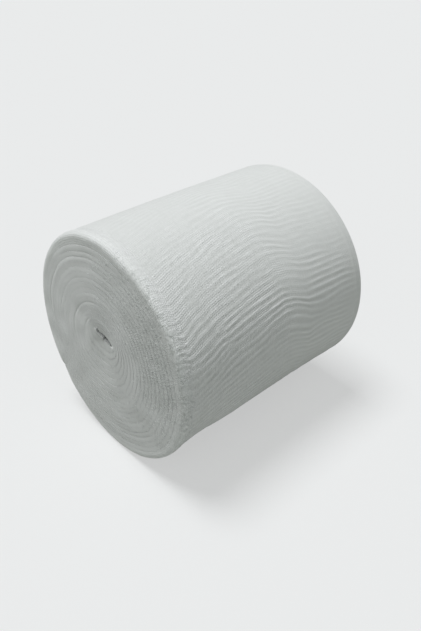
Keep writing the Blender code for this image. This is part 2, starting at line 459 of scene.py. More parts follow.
def sheet_from_sections(name, sections, along_strip, across_cloth, point_values, crisp_points=()):
    """Joins sections, an array (columns, points, 3), into one closed mesh with a cloth map."""
    columns, points, _ = sections.shape
    column = np.arange(columns - 1)[:, None]
    point = np.arange(points)[None, :]
    after = (point + 1) % points
    first = column * points + point
    second = column * points + after
    quads = np.stack([first, second, second + points, first + points], axis=-1).reshape(-1, 4)
    caps = [np.arange(points)[::-1], np.arange(points) + (columns - 1) * points]
    loops = np.concatenate([quads.ravel(), *caps])
    starts = np.concatenate([np.arange(len(quads)) * 4, [len(quads) * 4, len(quads) * 4 + points]])
    mesh = bpy.data.meshes.new(name)
    mesh.vertices.add(columns * points)
    mesh.vertices.foreach_set("co", sections.reshape(-1).astype(np.float32))
    mesh.loops.add(len(loops))
    mesh.loops.foreach_set("vertex_index", loops.astype(np.int32))
    mesh.polygons.add(len(starts))
    mesh.polygons.foreach_set("loop_start", starts.astype(np.int32))
    mesh.update(calc_edges=True)
    mesh.shade_smooth()
    keep_crisp(mesh, points, crisp_points)
    cloth = mesh.uv_layers.new(name="cloth")
    flat_places = np.stack(
        [np.broadcast_to(along_strip[:, None], (columns, points)), across_cloth], axis=-1
    ).reshape(-1, 2)
    cloth.data.foreach_set("uv", flat_places[loops].astype(np.float32).ravel())
    for value_name, values in point_values.items():
        layer = mesh.attributes.new(value_name, "FLOAT", "POINT")
        layer.data.foreach_set("value", values.astype(np.float32).ravel())
    piece = bpy.data.objects.new(name, mesh)
    bpy.context.scene.collection.objects.link(piece)
    print(name, "has", 2 * len(quads) + 2 * (points - 2), "triangles")
    return piece


def in_frame(across, along, up):
    """Places measured from the axis, moved to where the frame has them and kept off the floor."""
    up = np.maximum(up + AXIS_HEIGHT, 0.0)
    return np.stack([across + AXIS_X, along + AXIS_MIDDLE_Y, up], axis=-1)


print("sheets can be joined, round an axis", AXIS_HEIGHT / MM, "mm above the floor")

# %% [markdown]
# ## The turns inside
#
# The inner turns are one sheet of cloth more than three metres long. Only its folded edges show,
# so its section has many points at the two edges and none between. The cloth is as thick as the
# room between its neighbours, so the turns touch, as the edges of fluffy cotton do when they mat
# together. All the edges lie in one softly domed face. The creases between them are measured
# from that face, so that two neighbours always meet at the same depth. Most are very shallow,
# and where a gap is wanted the crease is deeper. The slot is a notch with sloping sides, about
# 3 mm deep.

# %% Room for each turn
LEAST_ROOM = 0.4 * MM
SLOT_HALF_LENGTH = 4.6 * MM
SLOT_TAPER_END = 1.15  # of its half length
SLOT_HALF_GAP = 0.75 * MM
SLOT_LEAST_GAP = 0.12 * MM
FIRST_INNER_MOST = 3.4 * MM


def normals_of(turns, step=1e-4):
    along = middle_line(turns + step) - middle_line(turns - step)
    along /= np.linalg.norm(along, axis=1, keepdims=True)
    return np.stack([-along[:, 1], along[:, 0]], axis=-1)


def room_to_slot(places, middle):
    """Distance from the line of the slot, where the two sides of the first turn meet."""
    along_slot, over_slot = turned_to_slot(*(places - middle).T)
    past_end = np.maximum(np.abs(along_slot) - SLOT_HALF_LENGTH, 0.0)
    fullness = smooth_step(SLOT_TAPER_END - np.abs(along_slot) / SLOT_HALF_LENGTH)
    gap = np.maximum(SLOT_HALF_GAP * fullness, SLOT_LEAST_GAP)
    return np.clip(np.hypot(past_end, over_slot) - gap, LEAST_ROOM / 2, FIRST_INNER_MOST)


inner_places = middle_line(inner_turns)
inner_normals = normals_of(inner_turns)
outward = np.sign((inner_normals * (inner_places - middle_line(inner_turns - 1))).sum(axis=1))
past_first = inner_turns - 1 > first_turn
inner_normals *= np.where(past_first, outward, np.median(outward))[:, None]
room_outside = ((middle_line(inner_turns + 1) - inner_places) * inner_normals).sum(axis=1)
room_inside = ((inner_places - middle_line(inner_turns - 1)) * inner_normals).sum(axis=1)
half_outside = np.maximum(room_outside, LEAST_ROOM) / 2
slot_middle = inner_places[~past_first].mean(axis=0)
half_inside = np.where(
    past_first, np.maximum(room_inside, LEAST_ROOM) / 2, room_to_slot(inner_places, slot_middle)
)
print("slot in the middle at", np.round(slot_middle / MM, 1), "mm from the axis")
print("room outside from", round(float(room_outside.min() / MM), 2), "to",
      round(float(room_outside.max() / MM), 2), "mm")

# %% Edges of the turns
FACE_DOME = 1.8 * MM
FACE_SWELL = 0.22 * MM
FACE_SWELL_REACH = 8 * MM
FACE_BAND = 0.065 * MM
FACE_BAND_WIDTH = 2.6 * MM
FACE_BAND_LENGTH = 26 * MM
# A side is the angle where it begins, the angle where it ends and its fade, all in degrees.
UNBANDED_SIDE = (62, 118, 40)  # where open threads hide the low rings
CREASE = 0.017 * MM
CREASE_UNEVEN = 0.017 * MM
CREASE_HILLS_A_TURN = 7.3
CREASED_SIDE = (240, 385, 40)  # where single turns can be told apart
CREASE_ELSEWHERE = 0.15
CORE_CREASE = 0.05 * MM
CORE_CREASE_REACH = 5 * MM
EDGE_UNEVEN = 0.012 * MM
EDGE_UNEVEN_REACH = 7 * MM
EDGE_RIDGE = 0.007 * MM
RIDGE_PITCH = 2.75 * MM
RIDGE_WANDER_REACH = 9 * MM
RIDGE_FADE_REACH = 12 * MM
FACE_SEED_STEP = 7
TOUCHING = 0.02 * MM
LIP_ROOT = 7.0 * MM
SLOT_DEPTH = 2.8 * MM
TIP_ROOM = 1.5 * MM  # where the first turn has less room than this, its crease is shallower
HIDDEN_THICKNESS = 0.35  # of the room, for the plies between the edges, which nothing shows
FOLD_REACH_TURNS = 2  # the last turn's folded edges lie over this many turns' thickness
UNDER_FOLD_DEPTH = 2.9 * MM
COVERED_FROM = 0.055
COVERED_FADE = 0.03
LIP_SHAPE = ((-1.0, 1.0), (-0.90, 0.90), (-0.58, 0.34), (0.0, 0.0), (0.58, 0.34), (0.90, 0.90),
             (1.0, 1.0))  # place across the edge, and the share of the crease's depth there


def face_swell(places, seed):
    """Low swells of the end, and low rings on them that come and go on their way round."""
    across, up = places.T
    ring = np.hypot(across, up) / FACE_BAND_WIDTH
    bands = hills(ring, across / FACE_BAND_LENGTH, seed + 1)
    bands = bands + hills(ring, up / FACE_BAND_LENGTH, seed + 2)
    bands = bands * (1 - turned_window(np.arctan2(across, up), *UNBANDED_SIDE))
    swell = hills(across / FACE_SWELL_REACH, up / FACE_SWELL_REACH, seed)
    return FACE_SWELL * swell + FACE_BAND * bands


def face_depth(places, dents, seed):
    """Depth of the end's soft face at places on it; less than 0 stands out."""
    from_axis = np.linalg.norm(places, axis=1) / ROLL_RADIUS
    dome = FACE_DOME * (1 - from_axis**2)
    return face_swell(places, seed) - dome + sum(soft_patches(dents, places)) * MM


def crease_depth(gaps, turns, seed):
    """Depth of the crease on the outer side of the strip, below the face."""
    depth = CREASE + CREASE_UNEVEN * hills(turns * CREASE_HILLS_A_TURN, 7.5, seed)
    depth = depth * at_least(CREASE_ELSEWHERE, turned_window(turn_angle(turns), *CREASED_SIDE))
    depth = depth + CORE_CREASE * np.exp(-((outer_radius(turns) / CORE_CREASE_REACH) ** 2))
    return depth + gap_depth(gaps, turns)


def edge_unevenness(seed):
    """Faint ridges and hills along the middle of an edge."""
    wander = 0.5 * hills(inner_arc / RIDGE_WANDER_REACH, 4.5, seed + 5)
    ridge = np.cos(2 * math.pi * (inner_arc / RIDGE_PITCH + wander))
    strength = 0.6 + 0.5 * hills(inner_arc / RIDGE_FADE_REACH, 5.5, seed + 6)
    uneven = EDGE_UNEVEN * hills(inner_arc / EDGE_UNEVEN_REACH, 1.5, seed + 3)
    return uneven + EDGE_RIDGE * ridge * strength


def lip_points(gaps, dents, seed):
    """Offsets across the thickness and depths below the end, for the points of one edge."""
    inside_crease = crease_depth(gaps, inner_turns - 1, seed)
    at_tip = np.where(past_first, 1.0, np.minimum(half_inside / TIP_ROOM, 1.0))
    creases = {-1: inside_crease * at_tip, 1: crease_depth(gaps, inner_turns, seed)}
    halves = {-1: half_inside, 1: half_outside}
    under_last = inner_turns + FOLD_REACH_TURNS - 1
    covered = UNDER_FOLD_DEPTH * smooth_step((under_last + COVERED_FROM) / COVERED_FADE)
    uneven = edge_unevenness(seed)
    face_seed = seed + FACE_SEED_STEP
    at_slot = face_depth(inner_places, dents, face_seed) + SLOT_DEPTH
    root_inside = np.where(past_first, half_inside * HIDDEN_THICKNESS, half_inside + SLOT_HALF_GAP)
    points = [(-root_inside, np.where(past_first, LIP_ROOT + covered, at_slot))]
    for place, crease_share in LIP_SHAPE:
        side = 1 if place > 0 else -1
        offset = place * (halves[side] + TOUCHING)
        on_face = inner_places + inner_normals * offset[:, None]
        depth = face_depth(on_face, dents, face_seed) + creases[side] * crease_share
        points.append((offset, depth + uneven * (1 - crease_share) + covered))
    points.append((half_outside * HIDDEN_THICKNESS, LIP_ROOT + covered))
    return points


NEAR_SEED = 21
NEAR_FACE_SEED = NEAR_SEED + FACE_SEED_STEP
FAR_SEED = 41
near_lip = lip_points(NEAR_GAPS, NEAR_DENTS, NEAR_SEED)
far_lip = lip_points(FAR_GAPS, FAR_DENTS, FAR_SEED)
print(len(near_lip) + len(far_lip), "points in the section of the inner strip")

# %% [markdown]
# On the right of the near end the folded edges are open and thready and hold more shade than the
# felted rest, so painted shade darkens their colour there; it does the same to the cotton above
# the slot and a few other patches of the end. The painted shade is a value on each point of both
# sheets, because it belongs to places on the end and not to one turn.

# %% Open cotton and painted shade on the near end
OPEN_SIDE = (48, 90, 32)
OPEN_RADII = (31 * MM, 60 * MM, 9 * MM)  # from, to and fade
# painted shade on the open, thready edges on the right
OPEN_SHADE = 0.64
SHADES = (
    # patches of painted shade, as in the table of dents, with their share of it in place of a depth
    (2.3, 9.0, 7.0, 2.4, 1.10),
    (0.0, 7.4, 12.0, 6.0, 0.95),
    (-14.5, 13.5, 5.5, 4.5, 0.30),
    (3.0, 33.0, 26.0, 14.0, 0.16),
    (0.0, 46.5, 17.0, 5.0, 0.42),
    (26.0, -20.0, 14.0, 18.0, 0.25),
    (-33.0, 19.0, 9.0, 12.0, 0.25),
)


def open_share(places):
    angle = np.arctan2(places[:, 0], places[:, 1])
    radius = np.linalg.norm(places, axis=1)
    return turned_window(angle, *OPEN_SIDE) * window(radius, *OPEN_RADII)


# painted shade at places on the end: the most of the open side's share and of the patches
def painted_shade_share(places):
    painted_shade = OPEN_SHADE * open_share(places)
    for patch in soft_patches(SHADES, places):
        painted_shade = np.maximum(painted_shade, patch)
    return painted_shade


print("most shade on the inner turns", round(float(painted_shade_share(inner_places).max()), 2))

# %% The inner strip
SLIP_FULL_FROM = 0.9  # of the roll's radius


def end_slip(angle, places):
    """How far the near end has slipped along the axis, at places on it."""
    from_axis = np.linalg.norm(places, axis=1) / ROLL_RADIUS
    return NEAR_SLIP * np.cos(angle) * np.minimum(from_axis / SLIP_FULL_FROM, 1.0)


def inner_sections():
    slip = end_slip(turn_angle(inner_turns), inner_places)
    sections = []
    for offset, depth in near_lip:
        flat = inner_places + inner_normals * offset[:, None]
        sections.append(in_frame(flat[:, 0], depth - STRIP_WIDTH / 2 + slip, flat[:, 1]))
    for offset, depth in reversed(far_lip):
        flat = inner_places + inner_normals * offset[:, None]
        sections.append(in_frame(flat[:, 0], STRIP_WIDTH / 2 - depth, flat[:, 1]))
    return np.stack(sections, axis=1)


def across_of(sections):
    """Distance across the cloth from the first point of each section."""
    steps = np.linalg.norm(np.diff(sections, axis=1), axis=2)
    return np.concatenate([np.zeros((len(sections), 1)), np.cumsum(steps, axis=1)], axis=1)


def on_near_half(share, points, near_points):
    """Gives a value along the strip to the points of the near edge, and 0 to the others."""
    return np.where(np.arange(points) < near_points, share[:, None], 0.0)


# Painted shade in the slot: a high share at its bottom paints its walls darker on their way in, and
# its lip and the cotton just behind the lip are painted darker too.
INSIDE_SHADE = 32.0  # at the bottom of the slot, so that its walls darken on their way in
SLOT_LIP_SHADES = (1.5, 1.15)  # on the slot's lip and just behind it, where the cotton turns in
inner_points = inner_sections()
point_count = inner_points.shape[1]
lip_count = len(near_lip)
# painted shade on the near edges, from the open side and the patches, and in the slot
inner_shade = on_near_half(painted_shade_share(inner_places), point_count, lip_count)
inner_shade[np.ix_(~past_first, [0, point_count - 1])] = INSIDE_SHADE
inner_shade[np.ix_(~past_first, [1, 2])] = SLOT_LIP_SHADES
wound_strip = sheet_from_sections(
    "wound_strip", inner_points, inner_arc, across_of(inner_points),
    {
        "loose": on_near_half(open_share(inner_places), point_count, lip_count),
        "painted_shade": inner_shade,
        "crinkle": np.zeros(inner_points.shape[:2]),
    },
    crisp_points=(1, lip_count - 2, lip_count + 1, point_count - 2),
)

# %% [markdown]
# ## The last turn
#
# The last turn is what shows of the strip's face. Its ribs follow a path that swings across the
# width, because the cloth was wound a little askew. The columns of its mesh swing with them, so a
# rib keeps to its columns and a few points carry it well. Two sets of ribs of slightly different
# pitch take turns, with soft borders between them: where one gives way to the other, ribs merge
# and break as they do in the cloth. At the near end the folded edge makes a soft fat rim, with a
# groove and slanting stitches behind it on the right, and it laps over the edges of the next two
# turns. At the loose end and under it the cloth is pressed thin and tucked in, so the rim runs on
# unbroken.

# %% The path and the height of the ribs
PATH_SHARES = (0.075, 0.130, 0.175, 0.205, 0.290, 0.370, 0.460, 0.540, 0.590, 0.628, 0.665,
               0.710, 0.770, 0.830, 0.930, 0.965, 1.000)
PATH_DRIFTS_MM = (-2.9, -5.0, -6.1, -7.5, -9.6, -11.4, -13.0, -14.0, -12.9, -11.0, -9.0,
                  -8.3, -7.8, -7.0, -6.4, -6.2, -6.2)
PATH_HEIGHTS = (0.55, 1.00, 0.85, 1.00, 1.00, 1.00, 0.94, 0.88, 0.90, 0.90, 0.88,
                0.80, 0.72, 0.60, 0.42, 0.10, 0.05)
RIB_PITCH = 2.8 * MM
SECOND_RIB_PITCH = 3.2 * MM
RIB_HEIGHT = 0.122 * MM
RIB_VALLEY = 0.38  # the part of a rib's height that lies below the cloth's own level
RIB_SHARPNESS = 1.5
RIB_SIZE = 0.80
RIB_LEAST_SIZE = 0.1
CRINKLE_SEED = 61
CRINKLE_HILLS = (
    # height, and sizes in millimetres along the strip and across it
    (0.42, 15, 24),  # wander of the first ribs
    (0.22, 6, 7),
    (0.45, 11, 14),  # wander of the second ribs
    (1.6, 17, 20),  # which of the two there are
    (0.42, 8, 10),  # how high they are
    (0.42, 2.6, 5),
)
PUCKER = 0.05 * MM
PUCKER_SEED = 71
PUCKER_HILLS = ((1.0, 1.4, 2.1),)
OUTER_COLUMNS = 1010
outer_turns = np.linspace(-HIDDEN_START, 1.0, OUTER_COLUMNS)
outer_arc = outer_turns * turn_length


def strip_hills(kinds, along_strip, across_strip, seed):
    """Hills on the strip laid flat, for each row of a table of them; each has the next seed."""
    return [
        height * hills(along_strip / (along_mm * MM), across_strip / (across_mm * MM), seed + number)
        for number, (height, along_mm, across_mm) in enumerate(kinds)
    ]


def ribs(along_strip, pitch, wander):
    return 0.5 + 0.5 * np.cos(2 * math.pi * (along_strip / pitch + wander))


def crinkle_height(along_strip, across_strip, seed):
    """Height of the crinkle over the strip laid flat, from about -0.5 to 0.8."""
    wander, small_wander, stray, other, size, small_size = strip_hills(
        CRINKLE_HILLS, along_strip, across_strip, seed
    )
    first = ribs(along_strip, RIB_PITCH, wander + small_wander)
    second = ribs(along_strip, SECOND_RIB_PITCH, stray)
    mix = smooth_step(0.5 + other)
    height = (first * (1 - mix) + second * mix) ** RIB_SHARPNESS
    return (height - RIB_VALLEY) * np.maximum(RIB_SIZE + size + small_size, RIB_LEAST_SIZE)


print("ribs:", round(turn_length / RIB_PITCH), "round the roll")

# %% Rows of the last turn's section
NEAR_RIM_ROWS = (
    # from the lip on the end, over the rim, to the row of stitches behind it: depth from the near
    # end, change of radius and drift of the ridges in mm, and the share of a rib's height
    (-0.20, -5.50, -3.6, 0.00),
    (-0.28, -4.20, -3.6, 0.02),
    (-0.27, -3.00, -3.7, 0.05),
    (-0.22, -2.15, -3.8, 0.10),
    (-0.02, -1.35, -3.9, 0.18),
    (0.32, -0.72, -4.1, 0.28),
    (0.85, -0.26, -4.2, 0.38),
    (1.60, 0.04, -4.2, 0.42),
    (2.50, 0.18, -4.2, 0.46),
    (3.45, 0.20, -4.1, 0.48),
    (4.35, 0.10, -3.8, 0.52),
    (5.00, -0.04, -3.4, 0.56),
    (5.55, -0.17, -3.1, 0.60),
    (6.10, -0.22, -2.8, 0.64),
    (6.65, -0.22, -2.6, 0.72),
    (7.35, -0.14, -2.6, 0.85),
)
FAR_DRIFT_MM = -6.2
FAR_LIP_ROWS = (
    # from the cloth over the far lip and in under it: depth from the far end and change of
    # radius in mm, and the share of a rib's height
    (2.4, 0.00, 0.12),
    (1.5, -0.22, 0.10),
    (0.8, -0.70, 0.08),
    (0.3, -1.35, 0.06),
    (0.0, -2.10, 0.05),
    (-0.1, -3.00, 0.03),
    (-0.1, -4.20, 0.00),
    (0.05, -5.40, 0.00),
    (0.5, -5.70, 0.00),
    (1.5, -5.50, 0.00),
    (2.2, -4.40, 0.00),
    (2.9, -2.60, 0.00),
)
NEAR_DRIFT_MM = -3.6
NEAR_FOLD_ROWS = (
    # from under the rim back out to the lip on the end: depth and change of radius in mm
    (3.3, -2.45),
    (2.3, -2.95),
    (1.9, -4.40),
    (1.0, -5.50),
    (-0.05, -5.75),
    (-0.14, -5.68),
)
INNER_SIDE_SHARES = (0.92, 0.75, 0.60, 0.46, 0.32, 0.20, 0.09)
BARREL_ROWS = 58
BARREL_FROM = 0.073
BARREL_TO = 0.965
CREASES = (
    # round the cloth: share of the width, depth and half width in mm, waves, and their swing in mm
    (0.188, 0.14, 1.4, 3, 1.2),
    (0.700, 0.16, 1.3, 2, 1.5),
    (0.845, 0.16, 1.4, 3, 1.8),
    (0.963, 0.40, 0.9, 2, 0.4),
)
HOLLOW_DEPTH = 1.3 * MM
HOLLOW_DEGREES = (134, 34)  # its middle and its half width, round the roll
HOLLOW_SHARES = (0.13, 0.13)  # the same, of the strip's width
GROOVE_SIDE = (58, 128, 26)  # where the groove behind the rim is deep
GROOVE_ELSEWHERE = 0.25
RIDGE_SIDE = (28, 118, 30)  # where the rim's ridges are strongest
RIDGES_ELSEWHERE = 0.35
RIM_FRONT_MM = 2
RIM_BACK_MM = 5
RIM_UNEVEN = 0.16 * MM
RIM_UNEVEN_REACH = 5 * MM
RIM_UNEVEN_DEPTHS_MM = (0.9, 2.5, 1.2)  # from, to and fade
RIM_TUFT = 0.07 * MM
RIM_TUFT_PATH_MM = (1.5, 6.5, 1.5)  # from, to and fade
RIM_SWELL_FALLS_MM = (3.0, 6.0, 2.0)  # from, to and fade
RIM_SEED = 81
RIM_TUFT_SEED = 91
print(len(NEAR_RIM_ROWS) + len(FAR_LIP_ROWS) + len(NEAR_FOLD_ROWS), "rows at the two edges")

# %% The last turn's own shape
PRESSED_LENGTH = 75 * MM
PRESSED_SHARE = 0.86
CLOTH_ALL_BUT = 0.05 * MM
START_TUCK = 1.7 * MM
LOOSE_END_TUCK = 0.5 * MM
TUCK_REACH = 7 * MM
START_OUT_FROM = -0.016  # of a turn from the loose end: where the hidden start begins to come out
START_OUT_OVER = 0.028
LOOSE_END_IN_OVER = 0.03


def last_turn_radius(turns):
    """Radius of the last turn's outer face."""
    pressed_share = PRESSED_LENGTH / turn_length
    pressed = smooth_step((turns - 1 + pressed_share) / pressed_share)
    return ROLL_RADIUS + TURN_THICKNESS * (turns - 0.5 - PRESSED_SHARE * pressed)


def turn_below_radius(turns):
    """Radius of the outer face of the turn that the last one lies on."""
    return ROLL_RADIUS + TURN_THICKNESS * (turns - 1.5)


def off_foot(angle):
    """0 in the middle of the flat spot that the roll rests on, and 1 away from it."""
    from_foot = np.abs((angle % (2 * math.pi)) - math.pi)
    return smooth_step(from_foot / FOOT_HALF_ANGLE)


def waist(angle, share):
    across = 1 - (2 * share - 1) ** 2
    depth = WAIST_DEPTH + WAIST_SLANT * np.cos(angle - WAIST_ANGLE)
    return -depth * across * off_foot(angle)


def slipped(along, angle):
    near_share = 1 - smooth_step((along / STRIP_WIDTH + 0.5) / NEAR_SLIP_SHARE)
    return along + NEAR_SLIP * np.cos(angle) * near_share


def hollow_depth(angle, share):
    """Depth of the soft hollow low on the right, behind the near rim."""
    middle, half_width = HOLLOW_DEGREES
    off = ((np.degrees(angle) - middle + 180) % 360 - 180) / half_width
    off_share = (share - HOLLOW_SHARES[0]) / HOLLOW_SHARES[1]
    return HOLLOW_DEPTH * np.exp(-(off_share**2) - off**2)


def tucked_in(turns):
    """How far the edges are drawn in, at the hidden start and at the loose end."""
    at_start = 1 - smooth_step((turns - START_OUT_FROM) / START_OUT_OVER)
    at_end = smooth_step((turns - 1 + LOOSE_END_IN_OVER) / LOOSE_END_IN_OVER)
    return START_TUCK * at_start + LOOSE_END_TUCK * at_end


print("loose end drawn in by", LOOSE_END_TUCK / MM, "mm")

# %% One row of points round the last turn
SIDE_RIBS = 1.5  # the share that is added to the ribs' height on one side
SIDE_RIBS_SIDE = (76, 112, 30)
TOP_RIBS = 0.55  # the share that is taken off it on the top
TOP_RIBS_SIDE = (-60, 2, 25)
TOP_RIBS_SHARES = (0, 0.35, 0.2)  # from, to and fade, of the strip's width
LOOSE_SHARES = (0.09, 0.50, 0.14)
LOOSE_BARREL_SIDE = (30, 100, 30)
LOOSE_LEAST = 0.2
RIM_LOOSE = 0.9
RIM_LOOSE_SIDE = (-15, 115, 40)
RIM_LOOSE_TO = 0.055  # of the strip's width, as the next
RIM_LOOSE_FADE = 0.03


def outer_row(along, rise, drift, ridges):
    """Angles, radii and crinkle heights at one distance along the axis from the roll's middle."""
    share = along / STRIP_WIDTH + 0.5
    angle = turn_angle(outer_turns) + drift / ROLL_RADIUS
    radius = last_turn_radius(outer_turns) + rise + waist(angle, np.clip(share, 0, 1))
    radius = radius - hollow_depth(angle, share)
    stronger = SIDE_RIBS * turned_window(angle, *SIDE_RIBS_SIDE)
    weaker = TOP_RIBS * turned_window(angle, *TOP_RIBS_SIDE) * window(share, *TOP_RIBS_SHARES)
    ridges = ridges * (1 + stronger - weaker)
    crinkle = crinkle_height(outer_arc, along, CRINKLE_SEED) * ridges * off_foot(angle)
    pucker = sum(strip_hills(PUCKER_HILLS, outer_arc, along, PUCKER_SEED)) * np.minimum(ridges, 1.0)
    radius = radius + RIB_HEIGHT * crinkle + PUCKER * pucker * off_foot(angle)
    return angle, radius, crinkle


def outer_looseness(angle, along):
    share = along / STRIP_WIDTH + 0.5
    loose = window(share, *LOOSE_SHARES) * turned_window(angle, *LOOSE_BARREL_SIDE)
    on_rim = 1 - smooth_step((share - RIM_LOOSE_TO) / RIM_LOOSE_FADE)
    rim = RIM_LOOSE * on_rim * turned_window(angle, *RIM_LOOSE_SIDE)
    return at_least(LOOSE_LEAST, np.maximum(loose, rim))


print("ribs up to", 1 + SIDE_RIBS, "times as high on the side")

# %% Sections of the last turn
# The end's painted shade runs onto the rim's lip and fades out behind its edge; the fluffy rim and the
# stitches behind it get painted light, taken off the painted shade.
SHADE_REACH = 1.3 * MM  # the end's shade fades out so soon behind the rim's edge
SHADE_RAGGED = 0.7 * MM
RIM_PAINTED_LIGHT = 0.36  # taken off the shade, where the fluffy rim catches more light
RIM_PAINTED_LIGHT_EVEN = 0.8
RIM_PAINTED_LIGHT_RAGGED = 0.45
RIM_PAINTED_LIGHT_DEPTHS = (0.9 * MM, 5.4 * MM, 1.2 * MM)  # from, to and fade
RIM_PAINTED_LIGHT_SIDE = (10, 100, 35)
RAGGED_SEED = 95
TUFT_HILLS = ((0.65, 0.85, 1.2), (0.35, 1.7, 2.2))
STITCH_PITCH = 1.9 * MM
STITCH_SLANT = 3.2 * MM
STITCH_WANDER = 0.3
STITCH_WANDER_REACH = 5 * MM
STITCH_SEED = 97
STITCH_DEPTHS = (4.9 * MM, 6.7 * MM, 0.8 * MM)  # from, to and fade
STITCH_SIDE = (50, 116, 18)
STITCH_HEIGHT = 0.13 * MM
# painted light on the raised threads of the stitches
STITCH_PAINTED_LIGHT = 0.35


def tufts(along_strip, across_strip, seed):
    """Small matted lumps of the rim's cotton, from -1 to 1, a little longer across the strip."""
    return sum(strip_hills(TUFT_HILLS, along_strip, across_strip, seed))


def stitches(from_end, angle):
    """1 on the raised threads of the slanting stitches behind the rim, and 0 between them."""
    wander = STITCH_WANDER * hills(outer_arc / STITCH_WANDER_REACH, 3.5, STITCH_SEED)
    place = outer_arc / STITCH_PITCH + from_end / STITCH_SLANT + wander
    raised = smooth_step(0.5 + 0.9 * np.cos(2 * math.pi * place))
    return raised * window(from_end, *STITCH_DEPTHS) * turned_window(angle, *STITCH_SIDE)


def rim_row(depth, rise, drift, ridges):
    """One row of the near rim, with its groove and its unevenness; depth to drift are in mm."""
    along = depth * MM - STRIP_WIDTH / 2
    angle = turn_angle(outer_turns) + drift * MM / ROLL_RADIUS
    groove = at_least(GROOVE_ELSEWHERE, turned_window(angle, *GROOVE_SIDE))
    side = at_least(RIDGES_ELSEWHERE, turned_window(angle, *RIDGE_SIDE))
    rises = rise * MM * (groove if depth > RIM_BACK_MM else 1.0)
    angle, radius, crinkle = outer_row(along, rises, drift * MM, ridges * side)
    uneven = RIM_UNEVEN * hills(outer_arc / RIM_UNEVEN_REACH, 0.5, RIM_SEED)
    uneven = uneven * window(depth, *RIM_UNEVEN_DEPTHS_MM)
    path = depth - rise  # millimetres over the rim's curve
    lumps = tufts(outer_arc, path * MM, RIM_TUFT_SEED) * window(path, *RIM_TUFT_PATH_MM) * side
    radius = radius + RIM_TUFT * lumps + STITCH_HEIGHT * stitches(depth * MM, angle)
    swell = face_swell(on_circle(angle, radius), NEAR_FACE_SEED)
    swell = swell * window(-rise, *RIM_SWELL_FALLS_MM)
    front_lumps = RIM_TUFT * lumps * (depth < RIM_FRONT_MM)
    return angle, radius, along + uneven + swell - front_lumps, crinkle


def place_and_drift(share):
    """Distance along the axis from the roll's middle, and how far the ribs have drifted there."""
    return (share - 0.5) * STRIP_WIDTH, np.interp(share, PATH_SHARES, PATH_DRIFTS_MM) * MM


def barrel_row(share):
    along, drift = place_and_drift(share)
    ridges = np.interp(share, PATH_SHARES, PATH_HEIGHTS)
    angle, radius, crinkle = outer_row(along, 0.0, drift, ridges)
    for crease_share, depth_mm, half_width_mm, waves, swing_mm in CREASES:
        place = (crease_share - 0.5) * STRIP_WIDTH + swing_mm * MM * np.sin(waves * angle)
        off = (along - place) / (half_width_mm * MM)
        radius = radius - depth_mm * MM * np.exp(-(off**2)) * off_foot(angle)
    return angle, radius, np.full_like(angle, along), crinkle


def inner_side_row(share):
    """The face that lies on the turn below, drawn in at the waist as the outer face is."""
    along, drift = place_and_drift(share)
    angle = turn_angle(outer_turns) + drift / ROLL_RADIUS
    drawn_in = waist(angle, share) - hollow_depth(angle, share)
    radius = turn_below_radius(outer_turns) + CLOTH_ALL_BUT + drawn_in
    return angle, radius, np.full_like(angle, along), np.zeros_like(angle)


def outer_sections():
    rows = [rim_row(*row) for row in NEAR_RIM_ROWS]
    rows += [barrel_row(share) for share in np.linspace(BARREL_FROM, BARREL_TO, BARREL_ROWS)]
    for depth, rise, ridges in FAR_LIP_ROWS:
        along = STRIP_WIDTH / 2 - depth * MM
        angle, radius, crinkle = outer_row(along, rise * MM, FAR_DRIFT_MM * MM, ridges)
        rows.append((angle, radius, np.full_like(angle, along), crinkle))
    rows += [inner_side_row(share) for share in INNER_SIDE_SHARES]
    rows += [rim_row(depth, rise, NEAR_DRIFT_MM, 0.0) for depth, rise in NEAR_FOLD_ROWS]
    tuck = tucked_in(outer_turns)
    sections, values = [], {"crinkle": [], "loose": [], "painted_shade": []}
    for angle, radius, along, crinkle in rows:
        from_near = smooth_step(1 - (along + STRIP_WIDTH / 2) / TUCK_REACH)
        from_far = smooth_step(1 - (STRIP_WIDTH / 2 - along) / TUCK_REACH)
        place = slipped(along + tuck * (from_near - from_far), angle)
        flat = on_circle(angle, radius)
        sections.append(in_frame(flat[:, 0], place, flat[:, 1]))
        from_end = along + STRIP_WIDTH / 2
        ragged = tufts(outer_arc, from_end, RAGGED_SEED)
        on_end = smooth_step(1 - (from_end + SHADE_RAGGED * ragged) / SHADE_REACH)
        on_rim = window(from_end, *RIM_PAINTED_LIGHT_DEPTHS)
        on_rim = on_rim * (RIM_PAINTED_LIGHT_EVEN + RIM_PAINTED_LIGHT_RAGGED * ragged)
        # painted light where the fluffy rim and the stitches catch more light
        painted_light = RIM_PAINTED_LIGHT * on_rim * turned_window(angle, *RIM_PAINTED_LIGHT_SIDE)
        painted_light = painted_light + STITCH_PAINTED_LIGHT * stitches(from_end, angle)
        values["crinkle"].append(crinkle)
        values["loose"].append(outer_looseness(angle, along))
        values["painted_shade"].append(painted_shade_share(flat) * on_end - painted_light)
    stacked = {name: np.stack(rows_of, axis=1) for name, rows_of in values.items()}
    return np.stack(sections, axis=1), stacked


outer_points, outer_values = outer_sections()
outer_turn = sheet_from_sections(
    "outer_turn", outer_points, outer_arc, across_of(outer_points), outer_values
)

# %% [markdown]
# ## Cotton
#
# Gauze is thin cotton threads in an open plain weave. The threads are brighter than the holes
# between them, where the ply below lies in shade. The weave is a node group: two sets of threads
# on the cloth map, bent a little. The cotton itself is matt, lets some light into itself, and has
# a faint bloom at grazing angles.

# %% The weave
THREAD_SHARPNESS = 1.2
THREAD_SHARE = 0.12  # of the height of a crossing, for a thread between two crossings


